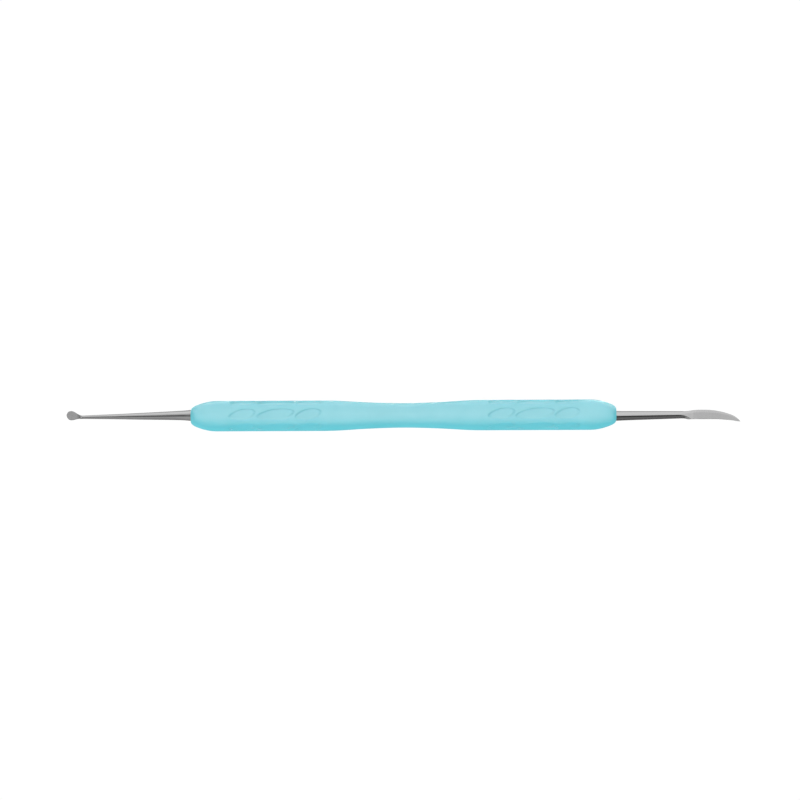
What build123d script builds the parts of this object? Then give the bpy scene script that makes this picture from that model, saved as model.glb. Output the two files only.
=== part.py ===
from build123d import *
import os

os.makedirs("parts", exist_ok=True)

# Double-ended dental hand instrument: a soft moulded grip on a stiff steel core,
# with a small disc at one end and a curved pointed blade at the other.
#
# Frame: X runs along the instrument, blade end at +X and disc end at -X,
# Y is the width direction of the flat ends, Z is square to their flat faces.
# The origin is the centre of the instrument, on the axis of the grip.
# All dimensions are millimetres.

# ---------------------------------------------------------------- dimensions
half_length = 88.40          # origin to the tip of either end

grip_r = 4.00                # the two round lands that a rail or clip holds
thick_r = 3.965              # the thick stretches, a shade slimmer than the lands
waist_r = 3.213              # the slim waist in the middle
grip_half = 55.78            # origin to the mouth of the grip
land_start = 46.2            # plain land, between the dimples
land_end = 48.8              # and the rounded nose
mouth_r = 1.80               # outer radius of the grip's end face

tube_or = 2.40               # core tube, outside
tube_ir = 1.90               # core tube, bore
tube_half = 50.0
groove_w = 1.20              # ring grooves that key the moulded grip
groove_d = 0.15
groove_x = (-46.9, -30.0, -12.0, 12.0, 30.0, 46.9)

flange_t = 0.80              # bush flange, same diameter as the tube
bush_len = 12.0              # bush spigot inside the tube
tang_r = 1.20                # tang of each tip, pressed in its bush
tang_len = 14.0
relief_r = 1.05              # relief groove under the shoulder
shoulder_r = 1.60            # shoulder that sits on the flange
shoulder_x = tube_half + flange_t

pin_r = 0.50                 # cross pins
pin_len = 4.60
pin_x = 44.0

dimple_depth = 0.215         # leaf-shaped finger dimples
dimple_rows = 6
row_step = 360.0 / dimple_rows
row_lean = 8.0               # the first row's middle, turned from +Z towards +Y

# grip radius from the waist to the land: (distance from middle, radius)
waist_profile = [
    (2.1, 3.229), (4.2, 3.281), (6.3, 3.340), (8.4, 3.426), (10.5, 3.522),
    (12.6, 3.638), (14.7, 3.762), (16.8, 3.872), (18.9, 3.940), (21.0, thick_r),
    (28.0, thick_r), (36.0, thick_r), (42.0, thick_r + 0.004), (45.0, 3.990),
]
# and from the land to the mouth
nose_profile = [
    (49.9, 3.956), (51.2, 3.790), (52.5, 3.491), (53.8, 3.056),
    (54.6, 2.709), (55.1, 2.405), (55.5, 2.080),
]

# tapered shanks: (distance from the origin, middle in Y, radius)
disc_shank = [
    (50.80, 0.000, 1.600), (52.60, 0.080, 1.600), (54.40, 0.180, 1.560),
    (55.90, 0.225, 1.437), (57.50, 0.226, 1.290), (60.60, 0.194, 1.148),
    (65.40, 0.115, 0.992), (70.10, 0.040, 0.848), (74.80, -0.020, 0.690),
    (79.50, -0.070, 0.565), (82.60, -0.108, 0.482), (84.40, -0.140, 0.432),
    (85.70, -0.120, 0.400),
]
blade_shank = [
    (50.80, 0.000, 1.600), (52.60, -0.130, 1.570), (54.40, -0.290, 1.400),
    (56.20, -0.340, 1.286), (60.10, -0.272, 1.185), (63.30, -0.222, 1.117),
    (66.40, -0.180, 1.061), (69.60, -0.138, 1.003), (72.70, -0.112, 0.945),
    (74.60, -0.120, 0.900), (76.00, -0.130, 0.820),
]

# plan outline of the disc, all round, from the neck: (X, Y)
disc_outline = [
    (-84.30, 0.130), (-84.70, 0.290), (-85.15, 0.440), (-85.60, 0.660),
    (-86.10, 1.010), (-86.63, 1.310), (-87.15, 1.440), (-87.66, 1.380),
    (-88.08, 1.080), (-88.34, 0.620), (-88.38, 0.130), (-88.10, -0.420),
    (-87.60, -0.800), (-87.00, -0.915), (-86.40, -0.850), (-85.70, -0.700),
    (-85.10, -0.580), (-84.70, -0.520), (-84.30, -0.420),
]
disc_t = 0.60                # thickness of the disc

# blade: (X, upper edge Y, lower edge Y, half thickness)
blade_sections = [
    (72.80, 0.15, -0.40, 0.300), (73.60, 0.580, -0.880, 0.360),
    (74.30, 0.815, -1.180, 0.385), (75.20, 0.945, -1.375, 0.390),
    (75.70, 1.010, -1.290, 0.388), (77.00, 1.095, -1.278, 0.378),
    (79.00, 1.100, -1.280, 0.360), (81.00, 1.025, -1.290, 0.340),
    (82.60, 0.800, -1.325, 0.320), (84.20, 0.460, -1.450, 0.292),
    (85.60, 0.030, -1.590, 0.260), (86.80, -0.520, -1.745, 0.220),
    (87.70, -1.140, -1.862, 0.165), (half_length, -1.800, -1.955, 0.080),
]
edge_half = 0.06             # half thickness left on the ground edges

# the grinding wheel's run-out on the blade's shank, in side view: (X, Z)
runout = [
    (71.6, 0.955), (72.8, 0.870), (73.5, 0.785), (74.2, 0.640),
    (75.2, 0.440), (76.4, 0.360),
]


# ---------------------------------------------------------------- core tube
with BuildPart() as core_tube:
    with BuildSketch(Plane.XY):
        with Locations((0, (tube_or + tube_ir) / 2)):
            Rectangle(2 * tube_half, tube_or - tube_ir)
        with Locations(*[(x, tube_or - groove_d / 2) for x in groove_x]):
            Rectangle(groove_w, groove_d, mode=Mode.SUBTRACT)
    revolve(axis=Axis.X)
    with Locations((pin_x, 0, 0), (-pin_x, 0, 0)):
        Cylinder(pin_r, 6.0, mode=Mode.SUBTRACT)
core_tube.part.label = "core_tube"

# The space that the tube and the bush flanges take inside the grip
with BuildPart() as core_space:
    with BuildSketch(Plane.XY):
        with Locations((0, tube_or / 2)):
            Rectangle(2 * (tube_half + flange_t), tube_or)
        with Locations(*[(x, tube_or - groove_d / 2) for x in groove_x]):
            Rectangle(groove_w, groove_d, mode=Mode.SUBTRACT)
    revolve(axis=Axis.X)


# ---------------------------------------------------------------- end bushes
# Half section of a bush, spigot in the tube and flange on the tube's end.
def bush_section(side):
    return [
        (side * (tube_half - bush_len), tang_r),
        (side * (tube_half - bush_len), tube_ir - 0.15),
        (side * (tube_half - bush_len + 0.4), tube_ir),
        (side * tube_half, tube_ir),
        (side * tube_half, tube_or),
        (side * (tube_half + flange_t), tube_or),
        (side * (tube_half + flange_t), tang_r),
    ]


with BuildPart() as disc_end_bush:
    with BuildSketch(Plane.XY):
        with BuildLine():
            Polyline(*bush_section(-1), close=True)
        make_face()
    revolve(axis=Axis.X)
    with Locations((-pin_x, 0, 0)):
        Cylinder(pin_r, 6.0, mode=Mode.SUBTRACT)
disc_end_bush.part.label = "disc_end_bush"

with BuildPart() as blade_end_bush:
    with BuildSketch(Plane.XY):
        with BuildLine():
            Polyline(*bush_section(1), close=True)
        make_face()
    revolve(axis=Axis.X)
    with Locations((pin_x, 0, 0)):
        Cylinder(pin_r, 6.0, mode=Mode.SUBTRACT)
blade_end_bush.part.label = "blade_end_bush"


# ---------------------------------------------------------------- cross pins
with BuildPart() as cross_pins:
    with Locations((pin_x, 0, 0), (-pin_x, 0, 0)):
        Cylinder(pin_r, pin_len)
    chamfer(cross_pins.edges().filter_by(GeomType.CIRCLE), length=0.1)
cross_pins.part.label = "cross_pins"


# ---------------------------------------------------------------- tips
# Half section of a tang: chamfered end, press land, relief under the shoulder.
def tang_section(side):
    return [
        (side * (shoulder_x - tang_len), 0),
        (side * (shoulder_x - tang_len), tang_r - 0.3),
        (side * (shoulder_x - tang_len + 0.3), tang_r),
        (side * (shoulder_x - 1.0), tang_r),
        (side * (shoulder_x - 0.8), relief_r),
        (side * (shoulder_x - 0.2), relief_r),
        (side * shoulder_x, tang_r),
        (side * shoulder_x, 0),
    ]


# Disc end: the blank is the round shank and a plate with the disc's outline,
# ground flat on both faces; the wheel runs out in a curve on the neck.
with BuildPart() as disc_plate:
    with BuildSketch(Plane.XY.offset(-disc_t / 2)):
        with BuildLine():
            Spline(*disc_outline)
            Line(disc_outline[-1], disc_outline[0])
        make_face()
    extrude(amount=disc_t)

with BuildPart() as disc_flats:
    with BuildSketch(Plane.XZ.offset(-3.0)):
        with BuildLine():
            Line((-82.0, 1.2), (-83.9, 0.52))
            Spline(
                (-83.9, 0.52), (-84.7, 0.375), (-85.7, disc_t / 2),
                tangents=[(-1.0, -0.28), (-1.0, -0.01)],
            )
            Polyline(
                (-85.7, disc_t / 2), (-89.0, disc_t / 2 - 0.06),
                (-89.0, 0.06 - disc_t / 2), (-85.7, -disc_t / 2),
            )
            Spline(
                (-85.7, -disc_t / 2), (-84.7, -0.375), (-83.9, -0.52),
                tangents=[(1.0, -0.01), (1.0, -0.28)],
            )
            Polyline(
                (-83.9, -0.52), (-82.0, -1.2), (-30.0, -3.0),
                (-30.0, 3.0), (-82.0, 1.2),
            )
        make_face()
    extrude(amount=6.0)

with BuildPart() as disc_tip:
    with BuildSketch(Plane.XY):
        with BuildLine():
            Polyline(*tang_section(-1), close=True)
        make_face()
    revolve(axis=Axis.X)
    for x, y, r in disc_shank:
        with BuildSketch(Plane(origin=(-x, y, 0), x_dir=(0, 1, 0), z_dir=(-1, 0, 0))):
            Circle(r)
    loft()
    add(disc_plate.part)
    add(disc_flats.part, mode=Mode.INTERSECT)
    with Locations((-pin_x, 0, 0)):
        Cylinder(pin_r, 6.0, mode=Mode.SUBTRACT)
disc_tip.part.label = "disc_tip"


# Blade end: the shank's end is ground flat on both faces, the wheel running
# out in a curve on the round, and the blade is a thin eight-sided section that
# tapers to the point, its edges ground thin.
def blade_section(top, bottom, half):
    bevel_top = min(0.24, 0.25 * (top - bottom))
    bevel_bottom = min(0.20, 0.20 * (top - bottom))
    edge = min(edge_half, 0.6 * half)
    return [
        (top, -edge), (top, edge), (top - bevel_top, half),
        (bottom + bevel_bottom, half), (bottom, edge), (bottom, -edge),
        (bottom + bevel_bottom, -half), (top - bevel_top, -half),
    ]


with BuildPart() as blade_body:
    for x, top, bottom, half in blade_sections:
        with BuildSketch(Plane(origin=(x, 0, 0), x_dir=(0, 1, 0), z_dir=(1, 0, 0))):
            with BuildLine():
                Polyline(*blade_section(top, bottom, half), close=True)
            make_face()
    loft(ruled=True)

with BuildPart() as blade_flats:
    with BuildSketch(Plane.XZ.offset(-3.0)):
        with BuildLine():
            Spline(
                *runout, tangents=[(1.0, -0.06), (1.0, -0.01)],
            )
            Line(runout[-1], (runout[-1][0], -runout[-1][1]))
            Spline(
                *[(x, -z) for x, z in reversed(runout)],
                tangents=[(-1.0, -0.01), (-1.0, -0.06)],
            )
            Polyline(
                (runout[0][0], -runout[0][1]), (69.0, -3.0), (30.0, -3.0),
                (30.0, 3.0), (69.0, 3.0), runout[0],
            )
        make_face()
    extrude(amount=6.0)

with BuildPart() as blade_tip:
    with BuildSketch(Plane.XY):
        with BuildLine():
            Polyline(*tang_section(1), close=True)
        make_face()
    revolve(axis=Axis.X)
    for x, y, r in blade_shank:
        with BuildSketch(Plane(origin=(x, y, 0), x_dir=(0, 1, 0), z_dir=(1, 0, 0))):
            Circle(r)
    loft()
    add(blade_flats.part, mode=Mode.INTERSECT)
    add(blade_body.part)
    with Locations((pin_x, 0, 0)):
        Cylinder(pin_r, 6.0, mode=Mode.SUBTRACT)
blade_tip.part.label = "blade_tip"


# ---------------------------------------------------------------- grip dimples
# Plan outline of one leaf, unit length; v is the arc position in degrees,
# positive towards -Y. It is pointed at the disc-end side, arched above, and
# comes back in a blunter point.
leaf_upper = [
    (0.00, 8.0), (0.14, -2.0), (0.28, -11.0), (0.45, -18.5), (0.62, -21.0),
    (0.82, -20.5), (0.94, -16.0), (1.00, -8.5),
]
leaf_lower = [
    (1.00, -8.5), (0.92, 3.0), (0.78, 12.5), (0.60, 17.5), (0.40, 17.0),
    (0.18, 12.0), (0.00, 8.0),
]
leaves = [                   # start and end of each leaf along the grip
    (-45.28, -38.72), (-38.33, -28.48), (-28.10, -21.53),
    (22.44, 29.20), (29.66, 39.51), (39.90, 46.07),
]


def leaf_points(outline, start, end):
    return [
        (start + u * (end - start), -grip_r * 3.14159265 / 180 * v)
        for u, v in outline
    ]


with BuildPart() as dimples:
    for row in range(dimple_rows):
        turn = row_lean - row * row_step
        side = Plane(origin=(0, 0, 0), x_dir=(1, 0, 0), z_dir=(0, 0, 1)).rotated((-turn, 0, 0))
        with BuildSketch(side.offset(3.2)):
            for start, end in leaves:
                with BuildLine():
                    Spline(*leaf_points(leaf_upper, start, end))
                    Spline(*leaf_points(leaf_lower, start, end))
                make_face()
        extrude(amount=1.2)
    Cylinder(
        thick_r - dimple_depth, 120.0, rotation=(0, 90, 0), mode=Mode.SUBTRACT
    )


# ---------------------------------------------------------------- grip sleeve
with BuildPart() as grip_sleeve:
    with BuildSketch(Plane.XY):
        with BuildLine():
            Spline(
                (0, waist_r), *waist_profile, (land_start, grip_r),
                tangents=[(1, 0), (1, 0)],
            )
            Line((land_start, grip_r), (land_end, grip_r))
            Spline(
                (land_end, grip_r), *nose_profile, (grip_half, mouth_r),
                tangents=[(1, 0), (0.35, -1)],
            )
            Polyline((grip_half, mouth_r), (grip_half, 0), (0, 0), (0, waist_r))
        make_face()
        mirror(about=Plane.YZ)
    revolve(axis=Axis.X)
    add(dimples.part, mode=Mode.SUBTRACT)
    add(core_space.part, mode=Mode.SUBTRACT)
    add(disc_tip.part, mode=Mode.SUBTRACT)
    add(blade_tip.part, mode=Mode.SUBTRACT)
grip_sleeve.part.label = "grip_sleeve"


# ---------------------------------------------------------------- files
export_step(grip_sleeve.part, "parts/grip_sleeve.step")
export_step(core_tube.part, "parts/core_tube.step")
export_step(disc_end_bush.part, "parts/disc_end_bush.step")
export_step(blade_end_bush.part, "parts/blade_end_bush.step")
export_step(cross_pins.part, "parts/cross_pins.step")
export_step(disc_tip.part, "parts/disc_tip.step")
export_step(blade_tip.part, "parts/blade_tip.step")
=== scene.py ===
import math
import random

import bpy
import numpy as np
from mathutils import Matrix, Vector


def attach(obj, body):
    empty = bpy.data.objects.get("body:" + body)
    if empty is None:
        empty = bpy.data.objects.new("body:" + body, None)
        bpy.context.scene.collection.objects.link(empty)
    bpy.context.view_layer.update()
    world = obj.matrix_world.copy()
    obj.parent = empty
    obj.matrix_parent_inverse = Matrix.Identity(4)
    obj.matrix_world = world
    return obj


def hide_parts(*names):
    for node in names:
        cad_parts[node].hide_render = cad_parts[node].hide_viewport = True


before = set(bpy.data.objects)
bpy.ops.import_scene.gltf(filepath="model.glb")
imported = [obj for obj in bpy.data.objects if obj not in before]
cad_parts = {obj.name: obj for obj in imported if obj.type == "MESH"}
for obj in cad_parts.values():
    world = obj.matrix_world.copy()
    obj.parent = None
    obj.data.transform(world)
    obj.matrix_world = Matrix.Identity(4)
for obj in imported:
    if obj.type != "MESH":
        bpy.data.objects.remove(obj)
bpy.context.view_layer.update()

random.seed(7)
np.random.seed(7)
MM = 0.001
PI = math.pi
scene = bpy.context.scene

# =====================================================================
# Small helpers
# =====================================================================


def smooth(lo, hi, x):
    """Smooth step from 0 at lo to 1 at hi."""
    t = np.clip((np.asarray(x, float) - lo) / (hi - lo), 0.0, 1.0)
    return t * t * (3.0 - 2.0 * t)


def curve_through(points, x):
    """Shape-keeping cubic through (x, y) points: no overshoot between them."""
    px = np.array([p[0] for p in points], float)
    py = np.array([p[1] for p in points], float)
    h = np.diff(px)
    d = np.diff(py) / h
    m = np.zeros_like(px)
    m[0], m[-1] = d[0], d[-1]
    for i in range(1, len(px) - 1):
        if d[i - 1] * d[i] > 0:
            w1, w2 = 2 * h[i] + h[i - 1], h[i] + 2 * h[i - 1]
            m[i] = (w1 + w2) / (w1 / d[i - 1] + w2 / d[i])
    x = np.clip(np.asarray(x, float), px[0], px[-1])
    k = np.clip(np.searchsorted(px, x, side="right") - 1, 0, len(h) - 1)
    t = (x - px[k]) / h[k]
    return (
        (2 * t**3 - 3 * t**2 + 1) * py[k]
        + (t**3 - 2 * t**2 + t) * h[k] * m[k]
        + (-2 * t**3 + 3 * t**2) * py[k + 1]
        + (t**3 - t**2) * h[k] * m[k + 1]
    )


def soft_closed(points, n):
    """n points on the smooth curve through an open list of points (centripetal)."""
    p = np.array(points, float)
    p = np.vstack([2 * p[0] - p[1], p, 2 * p[-1] - p[-2]])
    out = []
    per = max(2, n // (len(p) - 3))
    for i in range(1, len(p) - 2):
        a, b, c, d = p[i - 1], p[i], p[i + 1], p[i + 2]
        t0 = 0.0
        t1 = t0 + max(1e-6, np.linalg.norm(b - a)) ** 0.5
        t2 = t1 + max(1e-6, np.linalg.norm(c - b)) ** 0.5
        t3 = t2 + max(1e-6, np.linalg.norm(d - c)) ** 0.5
        for t in np.linspace(t1, t2, per, endpoint=False):
            a1 = (t1 - t) / (t1 - t0) * a + (t - t0) / (t1 - t0) * b
            a2 = (t2 - t) / (t2 - t1) * b + (t - t1) / (t2 - t1) * c
            a3 = (t3 - t) / (t3 - t2) * c + (t - t2) / (t3 - t2) * d
            b1 = (t2 - t) / (t2 - t0) * a1 + (t - t0) / (t2 - t0) * a2
            b2 = (t3 - t) / (t3 - t1) * a2 + (t - t1) / (t3 - t1) * a3
            out.append((t2 - t) / (t2 - t1) * b1 + (t - t1) / (t2 - t1) * b2)
    out.append(p[-2])
    return np.array(out)


def ring_mesh(name, rings, closed=False, cap=True):
    """A skin over rings of equal point count, given in millimetres. closed joins the last ring to the first."""
    rings = np.array(rings, float)
    nr, nk, _ = rings.shape
    verts = (rings.reshape(-1, 3) * MM).tolist()
    faces = []
    last = nr if closed else nr - 1
    for i in range(last):
        a, b = i * nk, ((i + 1) % nr) * nk
        for k in range(nk):
            l = (k + 1) % nk
            faces.append((a + k, a + l, b + l, b + k))
    if cap and not closed:
        for i, flip in ((0, True), (nr - 1, False)):
            centre = rings[i].mean(axis=0) * MM
            verts.append(centre.tolist())
            c = len(verts) - 1
            for k in range(nk):
                l = (k + 1) % nk
                a, b = i * nk + k, i * nk + l
                faces.append((c, b, a) if flip else (c, a, b))
    mesh = bpy.data.meshes.new(name)
    mesh.from_pydata(verts, [], faces)
    mesh.validate()
    for p in mesh.polygons:
        p.use_smooth = True
    mesh.update()
    obj = bpy.data.objects.new(name, mesh)
    scene.collection.objects.link(obj)
    return obj


def crease_by_angle(obj, degrees):
    """Marks edges sharper than this as hard, so that ground edges stay crisp."""
    mesh = obj.data
    mesh.set_sharp_from_angle(angle=math.radians(degrees))


# =====================================================================
# Grip: a moulded silicone sleeve, one closed skin
# =====================================================================

GRIP_HALF = 55.78
GRIP_R = 4.0
ROWS = 6
# angles round one row, closest where the upper walls of the dimples run
ROW_ANGLES = np.concatenate([
    np.arange(-30.0, -24.0, 1.5), np.arange(-24.0, -12.0, 0.75), np.arange(-12.0, 30.0, 1.5),
])
N_ROUND = ROWS * len(ROW_ANGLES)

half_profile = [
    (0.0, 3.213), (2.1, 3.229), (4.2, 3.281), (6.3, 3.340), (8.4, 3.426),
    (10.5, 3.522), (12.6, 3.645), (14.7, 3.780), (16.8, 3.900), (18.9, 3.972),
    (21.0, 3.998), (28.0, 4.0), (36.0, 4.0), (42.0, 4.0), (48.5, 4.0), (49.9, 3.962),
    (51.2, 3.790), (52.5, 3.491), (53.8, 3.066), (54.6, 2.745), (55.1, 2.480),
    (55.42, 2.250), (55.62, 2.020), (55.73, 1.850), (GRIP_HALF, 1.740),
]

disc_shank = [
    (50.80, 0.000, 1.600), (52.60, 0.080, 1.600), (54.40, 0.180, 1.560),
    (55.90, 0.225, 1.437), (57.50, 0.226, 1.290), (60.60, 0.194, 1.148),
    (65.40, 0.115, 0.992), (70.10, 0.040, 0.848), (74.80, -0.020, 0.690),
    (79.50, -0.070, 0.565), (82.60, -0.108, 0.482), (84.30, -0.138, 0.430),
    (85.70, -0.120, 0.400),
]
blade_shank = [
    (50.80, 0.000, 1.600), (52.60, -0.130, 1.570), (54.40, -0.290, 1.400),
    (56.20, -0.347, 1.272), (60.10, -0.294, 1.183), (63.30, -0.256, 1.124),
    (66.40, -0.217, 1.073), (69.60, -0.177, 1.015), (72.70, -0.147, 0.955),
    (75.80, -0.135, 0.912),
]


def shank_at(table, x):
    """Middle in Y and radius of a shank at distances x from the origin."""
    xs = [(p[0], p[1]) for p in table]
    rs = [(p[0], p[2]) for p in table]
    return curve_through(xs, x), curve_through(rs, x)


# One leaf: u along the grip from its pointed end, v round it in degrees
leaf_upper = [
    (0.00, 13.0), (0.02, 6.0), (0.07, 0.0), (0.16, -6.5), (0.29, -13.6), (0.45, -19.0),
    (0.62, -21.0), (0.80, -20.6), (0.93, -16.5), (1.00, -8.5),
]
leaf_lower = [
    (1.00, -8.5), (0.94, 3.5), (0.80, 14.5), (0.60, 20.5), (0.40, 22.0),
    (0.18, 19.0), (0.00, 13.0),
]
leaves = [
    (-45.60, -38.72), (-38.50, -28.48), (-28.40, -21.53),
    (22.10, 29.20), (29.25, 39.51), (39.60, 46.07),
]
ROW_LEAN = 8.0               # the first row's middle is this far from +Z towards +Y
FLOOR_R = 3.60               # distance of the flat dimple floor from the axis


def grip_stations():
    """Distances along the grip: close where the dimples and noses are."""
    left = np.arange(-46.4, -20.4, 0.24)
    right = np.arange(21.4, 47.3, 0.24)
    waist = np.linspace(-20.4, 21.4, 34)[1:-1]
    t = np.linspace(0, 1, 30)
    nose_l = -GRIP_HALF + (GRIP_HALF - 46.4) * (1 - np.cos(t * PI / 2)) ** 1.25
    nose_r = GRIP_HALF - (GRIP_HALF - 47.3) * (1 - np.cos(t * PI / 2)) ** 1.25
    return np.array(sorted(set(np.round(np.concatenate(
        [nose_l[:-1], left, waist, right, nose_r[:-1]]), 5))))


def leaf_field(xs, vs):
    """Share 0..1 of dimple floor over one row's sector: xs along, vs degrees."""
    depth = np.zeros((len(xs), len(vs)))
    tip_in = np.zeros((len(xs), len(vs)))
    X, V = np.meshgrid(xs, vs * PI / 180 * GRIP_R, indexing="ij")
    for start, end in leaves:
        keep = (xs > start - 1.2) & (xs < end + 1.2)
        if not keep.any():
            continue
        length = end - start
        up = soft_closed([(start + u * length, v * PI / 180 * GRIP_R) for u, v in leaf_upper], 96)
        dn = soft_closed([(start + u * length, v * PI / 180 * GRIP_R) for u, v in leaf_lower], 96)
        loop = np.vstack([up[:-1], dn[:-1]])
        nxt = np.roll(loop, -1, axis=0)
        px, pv = X[keep][..., None], V[keep][..., None]
        ax, av = loop[:, 0], loop[:, 1]
        bx, bv = nxt[:, 0], nxt[:, 1]
        ex, ev = bx - ax, bv - av
        ll = ex * ex + ev * ev + 1e-12
        t = np.clip(((px - ax) * ex + (pv - av) * ev) / ll, 0, 1)
        dx, dv = px - (ax + t * ex), pv - (av + t * ev)
        dd = dx * dx + dv * dv
        near = dd.argmin(axis=-1)
        dist = np.sqrt(dd.min(axis=-1))
        cross = ((av > pv) != (bv > pv)) & (px < ex * (pv - av) / (ev + 1e-15) + ax)
        inside = cross.sum(axis=-1) % 2 == 1
        # how far the nearest edge faces down the side: the lower wall is softer
        lower = (near >= len(up) - 1).astype(float)
        mid_u = np.clip((X[keep] - start) / length, 0, 1)
        tip = np.exp(-((mid_u / 0.12) ** 2)) + 0.5 * np.exp(-(((1 - mid_u) / 0.05) ** 2))
        end_on = np.abs(np.take_along_axis(dx, near[..., None], -1)[..., 0]) / np.maximum(dist, 1e-6)
        width = 0.11 + 0.10 * np.clip(end_on, 0, 1) + 0.34 * lower * (1 - np.clip(tip, 0, 1))
        sd = np.where(inside, dist, -dist)
        s = np.clip((sd + 0.35 * width) / (1.35 * width), 0, 1)
        s = s * s * s * (s * (6 * s - 15) + 10)
        depth[keep] = np.maximum(depth[keep], s)
        tip_in[keep] += 0.14 * np.exp(-((mid_u / 0.12) ** 2)) * s
    return depth, tip_in


def build_grip():
    xs = grip_stations()
    vs = ROW_ANGLES                                          # about the row's middle
    share, tip_in = leaf_field(xs, vs)
    radius = curve_through(half_profile, np.abs(xs))
    flat = FLOOR_R / np.cos((vs + 5.0) * PI / 180)           # flat floor, seen round the axis
    cut = np.minimum(flat[None, :], radius[:, None] - 0.03)
    sector = radius[:, None] + (cut - radius[:, None]) * share - tip_in
    r = np.tile(sector, (1, ROWS))
    # angle from +Z towards -Y
    theta = np.concatenate([vs - ROW_LEAN + k * 60.0 for k in range(ROWS)]) * PI / 180
    outer = np.stack([
        np.repeat(xs[:, None], N_ROUND, axis=1),
        -r * np.sin(theta)[None, :],
        r * np.cos(theta)[None, :],
    ], axis=-1)
    # mouth: a small rounded lip, then the bore that hugs the shank and the core
    rings = [ring for ring in outer]

    def bore(x, yc, rad):
        return np.stack([
            np.full(N_ROUND, x),
            yc - rad * np.sin(theta),
            rad * np.cos(theta),
        ], axis=-1)

    for side, table in ((1, blade_shank), (-1, disc_shank)):
        yc, rs = shank_at(table, np.array([55.0, 55.5, GRIP_HALF]))
        lip = []
        mouth = float(rs[2])
        for a in (0.0, 0.3, 0.6, 0.85, 1.0):
            # from the rim to the shank, slightly dished
            rim_r = 1.740 + (mouth + 0.05 - 1.740) * a
            rim_y = float(yc[2]) * a
            lip.append(bore(side * (GRIP_HALF - 0.10 * a * a), rim_y, max(rim_r, 0.2)))
        lip.append(bore(side * 55.5, float(yc[1]), float(rs[1]) + 0.02))
        for x in (54.4, 53.4, 52.6, 51.6, 50.8):
            y, q = shank_at(table, np.array([x]))
            lip.append(bore(side * x, float(y[0]), float(q[0]) + 0.01))
        lip.append(bore(side * 50.79, 0.0, 2.40))
        if side > 0:
            rings += lip[1:]
            rings += [bore(x, 0.0, 2.40) for x in (36.0, 20.0, 0.0, -20.0, -36.0)]
        else:
            rings += lip[1:][::-1]
    obj = ring_mesh("soft_grip", rings, closed=True)
    crease_by_angle(obj, 70)
    return obj


# =====================================================================
# Steel ends: each a closed skin of cross sections along X
# =====================================================================

N_SEC = 256


def section(yc, a, b, planes, circles, power=46.0):
    """Cross section about (yc, 0). Directions follow an ellipse a by b.
    planes are (ny, nz, c): the solid is where ny*y + nz*z <= c. circles are (cy, r) about (cy, 0).
    The edges between them are eased a little, as grinding and polishing leaves them."""
    t = (np.arange(N_SEC) + 0.5) / N_SEC * 2 * PI
    dy, dz = a * np.cos(t), b * np.sin(t)
    n = np.hypot(dy, dz)
    dy, dz = dy / n, dz / n
    reach = []
    for ny, nz, c in planes:
        q = ny * dy + nz * dz
        reach.append(np.where(q > 1e-6, c / np.maximum(q, 1e-6), 1e3))
    for ey, ea, eb in circles:
        # ellipse about (ey, 0) with half axes ea, eb
        A = (dy / ea) ** 2 + (dz / eb) ** 2
        B = -2 * dy * ey / ea**2
        C = (ey / ea) ** 2 - 1
        disc = np.maximum(B * B - 4 * A * C, 0)
        reach.append((-B + np.sqrt(disc)) / (2 * A))
    reach = np.array(reach)
    s = (reach ** (-power)).sum(axis=0) ** (-1 / power)
    return yc + s * dy, s * dz


def tang_rings(side):
    """The hidden tang: chamfered end, fine straight knurl, relief and shoulder."""
    rings = []
    t = (np.arange(N_SEC) + 0.5) / N_SEC * 2 * PI
    rows = [
        (36.80, 0.25, 0), (36.80, 0.88, 0), (37.10, 1.17, 0), (37.30, 1.17, 0),
        (37.60, 1.20, 1), (48.90, 1.20, 1), (49.20, 1.17, 0), (49.80, 1.20, 0),
        (50.00, 1.05, 0), (50.55, 1.05, 0), (50.79, 1.12, 0), (50.80, 1.57, 0),
    ]
    for x, r, knurl in rows:
        rr = r - knurl * 0.035 * (0.5 - 0.5 * np.cos(t * 32))
        rings.append(np.stack([np.full(N_SEC, side * x), rr * np.cos(t), rr * np.sin(t)], axis=-1))
    return rings


# ---- disc end -------------------------------------------------------
disc_top = [
    (84.25, 0.400), (84.79, 0.480), (85.05, 0.515), (85.31, 0.625), (85.58, 0.765),
    (85.84, 0.935), (86.10, 1.105), (86.36, 1.265), (86.63, 1.390), (86.89, 1.470),
    (87.15, 1.505), (87.41, 1.500), (87.68, 1.435), (87.94, 1.285), (88.15, 1.045),
    (88.28, 0.785), (88.36, 0.560), (88.40, 0.345),
]
disc_low = [
    (84.25, -0.570), (84.79, -0.610), (85.05, -0.540), (85.31, -0.570), (85.58, -0.615),
    (85.84, -0.675), (86.10, -0.745), (86.36, -0.810), (86.63, -0.865), (86.89, -0.900),
    (87.15, -0.920), (87.41, -0.890), (87.68, -0.795), (87.94, -0.615), (88.15, -0.355),
    (88.28, -0.065), (88.36, 0.100), (88.40, 0.320),
]


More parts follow.
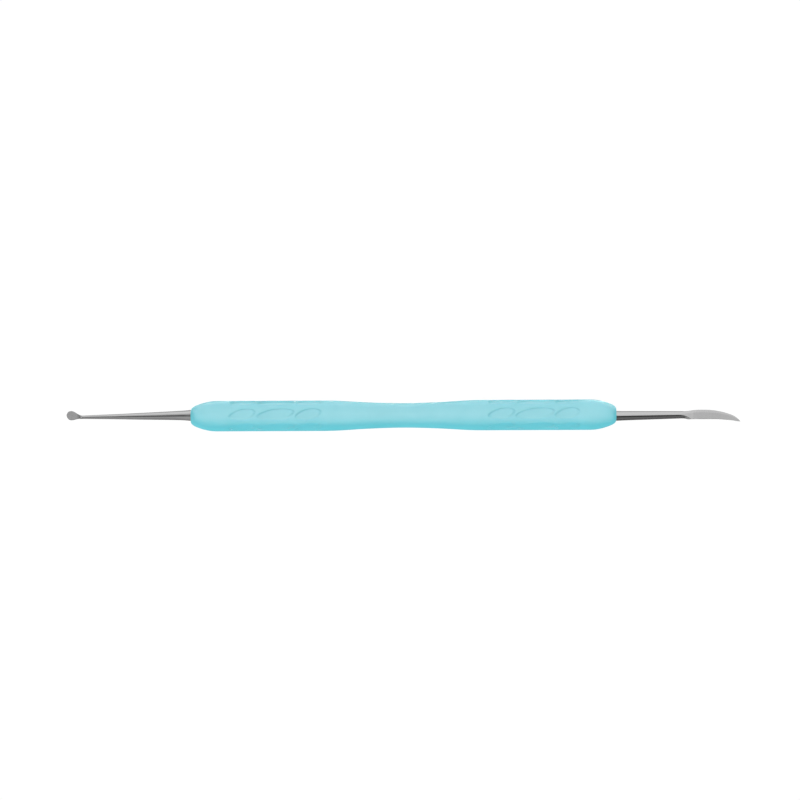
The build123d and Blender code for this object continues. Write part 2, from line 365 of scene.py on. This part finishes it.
def build_disc_end():
    rings = tang_rings(-1)
    xs = list(np.arange(50.82, 56.0, 0.35)) + list(np.arange(56.0, 83.0, 0.5))
    xs += list(np.arange(83.0, 87.6, 0.045)) + list(88.40 - 0.80 * np.linspace(1, 0, 40)[:-1] ** 2.0)
    xs = np.array(sorted(set(np.round(xs, 5))))
    xs = xs[xs <= 88.399]
    yc, r = shank_at(disc_shank, xs)
    top = curve_through(disc_top, xs)
    low = curve_through(disc_low, xs)
    # side profile of the two ground flats, run out on the neck
    flat = curve_through([
        (83.6, 0.62), (84.0, 0.50), (84.26, 0.432), (84.7, 0.358), (85.2, 0.306),
        (85.8, 0.286), (86.6, 0.281), (87.6, 0.276), (88.4, 0.272)], xs)
    flat = np.where(xs < 83.6, 3.0, flat)
    for x, c, q, yt, yl, f in zip(xs, yc, r, top, low, flat):
        plate = float(smooth(84.2, 85.3, x))
        mid = (yt + yl) / 2 * plate + c * (1 - plate)
        half = (yt - yl) / 2 * plate + q * (1 - plate)
        # blank: round shank, swelling into a flattened bulb with round edges
        bulb = q * (1 - plate) + plate * max(0.34, min(half * 0.85, 0.44))
        edge = min(half, 3.0)
        lean = math.radians(1.75) * plate
        planes = [(math.sin(lean), math.cos(lean), f), (-math.sin(lean), -math.cos(lean), f)]
        if plate > 0.02:
            # eased rims of the plate
            k = 0.60
            for sy in (1, -1):
                for sz in (1, -1):
                    n = math.hypot(1, k)
                    ease = 0.86 if sy > 0 else 0.99
                    planes.append((sy / n, sz * k / n, (half * 1.0 + k * f * (ease + 2.2 * (1 - plate))) / n))
        b = max(min(f, bulb), 0.05)
        y, z = section(mid, edge, b, planes, power=40 + 60 * plate, circles=[(0.0, edge, max(bulb, q) * 1.02 * (1 - plate) + 1.1 * plate)])
        # the plate is set up a little from the neck
        z = z + math.tan(math.radians(3.0)) * max(0.0, x - 84.9 + 0.3 * math.exp(-max(0.0, x - 84.6) / 0.3)) * plate
        rings.append(np.stack([np.full(N_SEC, -x), y, z], axis=-1))
    # orientation: this end runs to -X, so the rings are wound the other way
    rings = [ring[::-1] for ring in rings]
    obj = ring_mesh("disc_end", rings)
    crease_by_angle(obj, 40)
    return obj


# ---- blade end ------------------------------------------------------
blade_top = [
    (72.70, 0.833), (73.20, 0.815), (73.76, 0.770), (74.30, 0.810), (74.81, 0.870),
    (75.30, 0.950), (75.86, 1.050), (76.91, 1.150), (77.96, 1.180), (79.01, 1.175),
    (80.06, 1.155), (80.59, 1.110), (81.11, 1.055), (81.64, 0.990), (82.16, 0.915),
    (82.69, 0.817), (83.21, 0.712), (83.74, 0.595), (84.26, 0.465), (84.79, 0.302),
    (85.31, 0.125), (85.84, -0.055), (86.36, -0.265), (86.89, -0.550), (87.41, -0.905),
    (87.80, -1.215), (88.10, -1.500), (88.30, -1.740), (88.40, -1.870),
]
blade_low = [
    (72.70, -1.097), (73.20, -1.115), (73.76, -1.160), (74.29, -1.240), (74.75, -1.325),
    (75.08, -1.330), (75.22, -1.325), (75.36, -1.300), (75.60, -1.283), (76.20, -1.280),
    (77.96, -1.280), (80.59, -1.280), (82.16, -1.290), (83.21, -1.345), (84.26, -1.430),
    (85.31, -1.525), (86.36, -1.645), (87.41, -1.838), (87.94, -1.905), (88.25, -1.940),
    (88.40, -1.955),
]


def build_blade_end():
    rings = tang_rings(1)
    xs = list(np.arange(50.82, 56.0, 0.35)) + list(np.arange(56.0, 71.0, 0.5))
    xs += list(np.arange(71.0, 76.5, 0.05)) + list(np.arange(76.5, 86.0, 0.12))
    xs += list(np.arange(86.0, 88.2, 0.05)) + list(np.arange(88.2, 88.401, 0.02))
    xs = np.array(sorted(set(np.round(xs, 5))))
    yc, r = shank_at(blade_shank, xs)
    top = curve_through(blade_top, xs)
    low = curve_through(blade_low, xs)
    # side profile of the flats: wheel run-out on the shank, then a slow taper
    flat = curve_through([
        (71.5, 1.08), (72.1, 0.990), (73.0, 0.935), (73.8, 0.895), (74.6, 0.830),
        (75.2, 0.725), (75.7, 0.580), (76.2, 0.460), (77.0, 0.392), (79.0, 0.360),
        (82.0, 0.325), (84.5, 0.280), (86.5, 0.215), (87.6, 0.150), (88.4, 0.070)], xs)
    flat = np.where(xs < 71.5, 3.0, flat)
    for x, c, q, yt, yl, f in zip(xs, yc, r, top, low, flat):
        plate = float(smooth(73.0, 76.4, x))
        mid = (yt + yl) / 2 * plate + c * (1 - plate) if x > 72.7 else c
        half = (yt - yl) / 2 if x > 72.7 else q
        # the blank is round at the shank and flattens out as it widens
        blank_a = half
        blank_b = q
        # the blade is ground a little thinner towards its upper edge
        lean = math.radians(3.7) * float(smooth(71.8, 73.6, x))
        planes = [(math.sin(lean), math.cos(lean), f * math.cos(lean)),
                  (math.sin(lean), -math.cos(lean), f * math.cos(lean))]
        ellipse = (0.0, blank_a * (1 + 0.9 * plate**3), blank_b * (1 + 0.2 * plate))
        if x > 72.7:
            ht, hl = yt - mid, mid - yl
            e = 0.045 + 0.95 * (1 - float(smooth(73.0, 75.6, x))) ** 2
            e = min(e, 1.0) if e > f else max(min(e, f * 0.8), 0.80 * f)
            # flat bevels that thin both long edges
            for h, sy, wide in ((ht, 1, min(0.62, 0.52 * half)), (hl, -1, min(0.02, 0.24 * half))):
                planes.append((sy, 0, h))
                if e < f and (sy > 0 or x < 74.5):
                    # the bevel starts on the leaning face, wide in from the edge
                    face = f - sy * math.tan(lean) * (h - wide)
                    rim = max((f - sy * math.tan(lean) * h) * (e / f if sy > 0 else 0.98), 0.03)
                    ny, nz = max(face - rim, 1e-4), wide
                    n = math.hypot(ny, nz)
                    cc = (ny * h + nz * rim) / n
                    planes.append((sy * ny / n, nz / n, cc))
                    planes.append((sy * ny / n, -nz / n, cc))
        b = min(f, blank_b)
        y, z = section(mid, half, b, planes, [ellipse], power=60 + 60 * plate)
        rings.append(np.stack([np.full(N_SEC, x), y, z], axis=-1))
    obj = ring_mesh("blade_end", rings)
    crease_by_angle(obj, 40)
    return obj


# =====================================================================
# Materials
# =====================================================================


def new_material(name):
    mat = bpy.data.materials.new(name)
    mat.use_nodes = True
    nt = mat.node_tree
    nt.nodes.clear()
    out = nt.nodes.new("ShaderNodeOutputMaterial")
    bsdf = nt.nodes.new("ShaderNodeBsdfPrincipled")
    nt.links.new(bsdf.outputs["BSDF"], out.inputs["Surface"])
    coord = nt.nodes.new("ShaderNodeTexCoord")
    return mat, nt, bsdf, coord


def mapped(nt, coord, scale):
    m = nt.nodes.new("ShaderNodeMapping")
    m.inputs["Scale"].default_value = scale
    nt.links.new(coord.outputs["Object"], m.inputs["Vector"])
    return m


def noise(nt, vector, scale, detail=3.0, rough=0.55):
    n = nt.nodes.new("ShaderNodeTexNoise")
    n.inputs["Scale"].default_value = scale
    n.inputs["Detail"].default_value = detail
    n.inputs["Roughness"].default_value = rough
    nt.links.new(vector, n.inputs["Vector"])
    return n.outputs["Fac"]


def remap(nt, value, lo, hi, to_lo, to_hi):
    r = nt.nodes.new("ShaderNodeMapRange")
    r.inputs["From Min"].default_value = lo
    r.inputs["From Max"].default_value = hi
    r.inputs["To Min"].default_value = to_lo
    r.inputs["To Max"].default_value = to_hi
    nt.links.new(value, r.inputs["Value"])
    return r.outputs["Result"]


def mixed(nt, fac, a, b):
    m = nt.nodes.new("ShaderNodeMix")
    m.data_type = "RGBA"
    nt.links.new(fac, m.inputs["Factor"])
    m.inputs["A"].default_value = (*a, 1)
    m.inputs["B"].default_value = (*b, 1)
    return m.outputs["Result"]


def bump(nt, height, strength, distance, under=None):
    b = nt.nodes.new("ShaderNodeBump")
    b.inputs["Strength"].default_value = strength
    b.inputs["Distance"].default_value = distance
    nt.links.new(height, b.inputs["Height"])
    if under is not None:
        nt.links.new(under, b.inputs["Normal"])
    return b.outputs["Normal"]


def silicone():
    mat, nt, bsdf, coord = new_material("aqua_silicone")
    soft = noise(nt, coord.outputs["Object"], 180.0, 2.0)
    fine = noise(nt, coord.outputs["Object"], 9000.0, 2.0, 0.5)
    mid = noise(nt, coord.outputs["Object"], 1400.0, 3.0, 0.5)
    tone = remap(nt, soft, 0.3, 0.7, 0.0, 1.0)
    nt.links.new(mixed(nt, tone, SILICONE_A, SILICONE_B), bsdf.inputs["Base Color"])
    nt.links.new(remap(nt, mid, 0.3, 0.7, 0.43, 0.50), bsdf.inputs["Roughness"])
    n1 = bump(nt, fine, 0.10, 0.00002)
    n2 = bump(nt, mid, 0.06, 0.00006, n1)
    nt.links.new(n2, bsdf.inputs["Normal"])
    bsdf.inputs["IOR"].default_value = 1.46
    return mat


def ground_steel():
    """Satin stainless steel: fine grinding marks along the shank, and across the flats."""
    mat, nt, bsdf, coord = new_material("satin_steel")
    along = mapped(nt, coord, (90.0, 9000.0, 9000.0))
    across = mapped(nt, coord, (7000.0, 500.0, 500.0))
    streak = noise(nt, along.outputs["Vector"], 1.0, 4.0, 0.6)
    grain = noise(nt, across.outputs["Vector"], 1.0, 3.0, 0.6)
    # the flats are ground across, the round shank along
    geo = nt.nodes.new("ShaderNodeNewGeometry")
    sep = nt.nodes.new("ShaderNodeSeparateXYZ")
    nt.links.new(geo.outputs["True Normal"], sep.inputs["Vector"])
    up = nt.nodes.new("ShaderNodeMath")
    up.operation = "ABSOLUTE"
    nt.links.new(sep.outputs["Z"], up.inputs[0])
    where = nt.nodes.new("ShaderNodeSeparateXYZ")
    nt.links.new(coord.outputs["Object"], where.inputs["Vector"])
    far = nt.nodes.new("ShaderNodeMath")
    far.operation = "ABSOLUTE"
    nt.links.new(where.outputs["X"], far.inputs[0])
    is_flat = nt.nodes.new("ShaderNodeMath")
    is_flat.operation = "MULTIPLY"
    nt.links.new(remap(nt, up.outputs[0], 0.965, 0.985, 0.0, 1.0), is_flat.inputs[0])
    nt.links.new(remap(nt, far.outputs[0], 0.0745, 0.0760, 0.0, 1.0), is_flat.inputs[1])
    marks = nt.nodes.new("ShaderNodeMix")
    marks.data_type = "FLOAT"
    nt.links.new(is_flat.outputs[0], marks.inputs["Factor"])
    nt.links.new(streak, marks.inputs["A"])
    nt.links.new(grain, marks.inputs["B"])
    m = marks.outputs["Result"]
    patch = noise(nt, coord.outputs["Object"], 420.0, 2.0)
    nt.links.new(mixed(nt, remap(nt, m, 0.25, 0.75, 0.0, 1.0), STEEL_A, STEEL_B), bsdf.inputs["Base Color"])
    rough = nt.nodes.new("ShaderNodeMath")
    rough.operation = "ADD"
    finish = nt.nodes.new("ShaderNodeMath")
    finish.operation = "ADD"
    nt.links.new(remap(nt, m, 0.25, 0.75, 0.11, 0.16), finish.inputs[0])
    nt.links.new(remap(nt, is_flat.outputs[0], 0.0, 1.0, 0.0, 0.08), finish.inputs[1])
    nt.links.new(finish.outputs[0], rough.inputs[0])
    nt.links.new(remap(nt, patch, 0.3, 0.7, -0.015, 0.015), rough.inputs[1])
    nt.links.new(rough.outputs[0], bsdf.inputs["Roughness"])
    nt.links.new(bump(nt, m, 0.035, 0.00001), bsdf.inputs["Normal"])
    bsdf.inputs["Metallic"].default_value = 1.0
    return mat


def turned_steel():
    """Plain turned steel for the hidden core: fine rings round the axis."""
    mat, nt, bsdf, coord = new_material("turned_steel")
    rings = mapped(nt, coord, (12000.0, 60.0, 60.0))
    feed = noise(nt, rings.outputs["Vector"], 1.0, 3.0, 0.6)
    patch = noise(nt, coord.outputs["Object"], 300.0, 2.0)
    nt.links.new(mixed(nt, remap(nt, feed, 0.25, 0.75, 0.0, 1.0), (0.46, 0.46, 0.47), (0.58, 0.58, 0.585)), bsdf.inputs["Base Color"])
    nt.links.new(remap(nt, patch, 0.3, 0.7, 0.26, 0.36), bsdf.inputs["Roughness"])
    nt.links.new(bump(nt, feed, 0.25, 0.00001), bsdf.inputs["Normal"])
    bsdf.inputs["Metallic"].default_value = 1.0
    return mat


SILICONE_A = (0.074, 0.532, 0.622)
SILICONE_B = (0.086, 0.556, 0.648)
STEEL_A = (0.54, 0.54, 0.542)
STEEL_B = (0.61, 0.61, 0.612)

SOFTBOXES = [
    (-165, 0.5), (-150, 1.0), (-125, 2.9), (-100, 4.3), (-75, 5.9), (-50, 6.6), (-25, 7.6),
    (0, 8.6), (25, 6.6), (50, 4.4), (75, 0.7),
]
BOX_POWER = PI

grip = build_grip()
disc_end = build_disc_end()
blade_end = build_blade_end()

silicone_mat, steel_mat, core_mat = silicone(), ground_steel(), turned_steel()
for obj, mat in ((grip, silicone_mat), (disc_end, steel_mat), (blade_end, steel_mat)):
    obj.data.materials.append(mat)
for node in ("core_tube", "disc_end_bush", "blade_end_bush", "cross_pins"):
    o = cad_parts[node]
    o.data.materials.clear()
    o.data.materials.append(core_mat)

for obj, node, slot in (
    (grip, "grip_sleeve", "soft_grip"),
    (disc_end, "disc_tip", "tip_steel"),
    (blade_end, "blade_tip", "tip_steel"),
):
    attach(obj, "root")
    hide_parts(node)


# =====================================================================
# Stage, light and camera
# =====================================================================

floor_mesh = bpy.data.meshes.new("floor")
s = 4.0
z0 = -4.0 * MM - 0.00002
floor_mesh.from_pydata([(-s, -s, z0), (s, -s, z0), (s, s, z0), (-s, s, z0)], [], [(0, 1, 2, 3)])
floor = bpy.data.objects.new("floor", floor_mesh)
scene.collection.objects.link(floor)
mat, nt, bsdf, coord = new_material("pale_floor")
bsdf.inputs["Base Color"].default_value = (0.72, 0.72, 0.72, 1)
bsdf.inputs["Roughness"].default_value = 0.9
bsdf.inputs["Specular IOR Level"].default_value = 0.0
bsdf.inputs["Emission Color"].default_value = (1, 1, 1, 1)
bsdf.inputs["Emission Strength"].default_value = 0.95
seen = nt.nodes.new("ShaderNodeLightPath")
plain = nt.nodes.new("ShaderNodeEmission")
plain.inputs["Color"].default_value = (1, 1, 1, 1)
plain.inputs["Strength"].default_value = 1.02
both_ways = nt.nodes.new("ShaderNodeMixShader")
nt.links.new(seen.outputs["Is Camera Ray"], both_ways.inputs["Fac"])
nt.links.new(bsdf.outputs["BSDF"], both_ways.inputs[1])
nt.links.new(plain.outputs["Emission"], both_ways.inputs[2])
nt.links.new(both_ways.outputs["Shader"], [n for n in nt.nodes if n.type == "OUTPUT_MATERIAL"][0].inputs["Surface"])
floor_mesh.materials.append(mat)
floor.visible_glossy = False
floor.visible_shadow = False

# The studio: one large soft source from overhead to the back (+Y), a dim strip
# past the vertical, a weaker fill on the near side, all plain white.
world = bpy.data.worlds.new("studio")
scene.world = world
world.use_nodes = True
nt = world.node_tree
nt.nodes.clear()
out = nt.nodes.new("ShaderNodeOutputWorld")
coord = nt.nodes.new("ShaderNodeTexCoord")
sep = nt.nodes.new("ShaderNodeSeparateXYZ")
nt.links.new(coord.outputs["Generated"], sep.inputs["Vector"])
neg = nt.nodes.new("ShaderNodeMath")
neg.operation = "MULTIPLY"
neg.inputs[1].default_value = -1.0
nt.links.new(sep.outputs["Y"], neg.inputs[0])
turn = nt.nodes.new("ShaderNodeMath")
turn.operation = "ARCTAN2"                    # 0 overhead, positive towards -Y
nt.links.new(neg.outputs[0], turn.inputs[0])
nt.links.new(sep.outputs["Z"], turn.inputs[1])
unit = remap(nt, turn.outputs[0], -PI, PI, 0.0, 1.0)


def level_ramp(stops):
    """Grey levels by degrees from overhead, as one colour output."""
    ramp = nt.nodes.new("ShaderNodeValToRGB")
    nt.links.new(unit, ramp.inputs["Fac"])
    ramp.color_ramp.interpolation = "LINEAR"
    el = ramp.color_ramp.elements
    el[0].position, el[1].position = 0.0, 1.0
    for i, (deg, level) in enumerate(stops):
        p = (deg + 180) / 360
        if i == 0:
            e = el[0]
        elif i == len(stops) - 1:
            e = el[len(el) - 1]
        else:
            e = el.new(p)
        e.position = p
        e.color = (level, level, level, 1)
    return ramp.outputs["Color"]


# towards -X the big source fades out sooner and the near side is lighter
room_left = level_ramp([
    (-180, 0.30), (-118, 0.55), (-100, 0.95), (-60, 0.98), (-42, 0.84), (-24, 0.52),
    (-10, 0.26), (-2, 0.13), (19, 0.09), (31, 0.50), (80, 0.46), (112, 0.36), (180, 0.20),
])
room_right = level_ramp([
    (-180, 0.30), (-118, 0.55), (-100, 0.95), (-60, 1.00), (-20, 0.92), (-6, 0.84), (0, 0.50),
    (4, 0.05), (32, 0.03), (44, 0.20), (90, 0.16), (112, 0.14), (180, 0.14),
])
across = nt.nodes.new("ShaderNodeMapRange")
across.interpolation_type = "SMOOTHSTEP"
across.inputs["From Min"].default_value = -0.135
across.inputs["From Max"].default_value = -0.030
nt.links.new(sep.outputs["X"], across.inputs["Value"])
both = nt.nodes.new("ShaderNodeMix")
both.data_type = "RGBA"
nt.links.new(across.outputs["Result"], both.inputs["Factor"])
nt.links.new(room_left, both.inputs["A"])
nt.links.new(room_right, both.inputs["B"])
end_wall = nt.nodes.new("ShaderNodeMapRange")
end_wall.interpolation_type = "SMOOTHSTEP"
end_wall.inputs["From Min"].default_value = -0.24
end_wall.inputs["From Max"].default_value = -0.38
nt.links.new(sep.outputs["X"], end_wall.inputs["Value"])
walls = nt.nodes.new("ShaderNodeMix")
walls.data_type = "RGBA"
nt.links.new(end_wall.outputs["Result"], walls.inputs["Factor"])
nt.links.new(both.outputs["Result"], walls.inputs["A"])
walls.inputs["B"].default_value = (0.62, 0.62, 0.62, 1)
path = nt.nodes.new("ShaderNodeLightPath")
room = nt.nodes.new("ShaderNodeBackground")   # what gloss reflects
nt.links.new(walls.outputs["Result"], room.inputs["Color"])
fill = nt.nodes.new("ShaderNodeBackground")   # what lights matt surfaces
fill.inputs["Color"].default_value = (1, 1, 1, 1)
lit = nt.nodes.new("ShaderNodeMath")          # a little more light from the near side
lit.operation = "MULTIPLY_ADD"
lit.inputs[1].default_value = 0.29
lit.inputs[2].default_value = 0.84
nt.links.new(neg.outputs[0], lit.inputs[0])
nt.links.new(lit.outputs[0], fill.inputs["Strength"])
back = nt.nodes.new("ShaderNodeBackground")   # what the camera sees
back.inputs["Color"].default_value = (1, 1, 1, 1)
back.inputs["Strength"].default_value = 1.02
m1 = nt.nodes.new("ShaderNodeMixShader")
nt.links.new(path.outputs["Is Glossy Ray"], m1.inputs["Fac"])
nt.links.new(fill.outputs[0], m1.inputs[1])
nt.links.new(room.outputs[0], m1.inputs[2])
m2 = nt.nodes.new("ShaderNodeMixShader")
nt.links.new(path.outputs["Is Camera Ray"], m2.inputs["Fac"])
nt.links.new(m1.outputs[0], m2.inputs[1])
nt.links.new(back.outputs[0], m2.inputs[2])
nt.links.new(m2.outputs[0], out.inputs["Surface"])

# Softboxes round the back of the grip give the silicone its pale sheen; the steel has the room.
sheen_on = bpy.data.collections.new("sheen_on")
sheen_on.objects.link(grip)
BOX_FAR = 0.5
for k, (deg, level) in enumerate(SOFTBOXES):
    light = bpy.data.lights.new(f"softbox_{k}", "AREA")
    light.shape = "RECTANGLE"
    light.size = 1.4
    light.size_y = 2 * BOX_FAR * math.tan(math.radians(12.5))
    light.energy = level * BOX_POWER * light.size * light.size_y
    box = bpy.data.objects.new(light.name, light)
    scene.collection.objects.link(box)
    turn_by = math.radians(deg)
    box.location = (0.0, -BOX_FAR * math.sin(turn_by), BOX_FAR * math.cos(turn_by))
    box.rotation_euler = (turn_by, 0.0, 0.0)
    box.visible_camera = False
    box.visible_diffuse = False
    box.visible_transmission = False
    box.light_linking.receiver_collection = sheen_on
    if hasattr(light, "cycles"):
        light.cycles.use_multiple_importance_sampling = False

scene.view_settings.view_transform = "Standard"
scene.view_settings.look = "None"
scene.view_settings.exposure = 0.0
scene.view_settings.gamma = 1.0

# Straight down on the lying instrument, through a long lens
cam_data = bpy.data.cameras.new("camera")
cam_data.lens = 135.0
cam_data.sensor_width = 36.0
cam_data.clip_start = 0.01
cam_data.clip_end = 20.0
camera = bpy.data.objects.new("camera", cam_data)
scene.collection.objects.link(camera)
camera.location = (-0.9024 * MM, 4.0488 * MM, 210.0 * MM * 135.0 / 36.0)
camera.rotation_euler = (0.0, 0.0, math.radians(-0.235))
scene.camera = camera

bpy.context.view_layer.update()
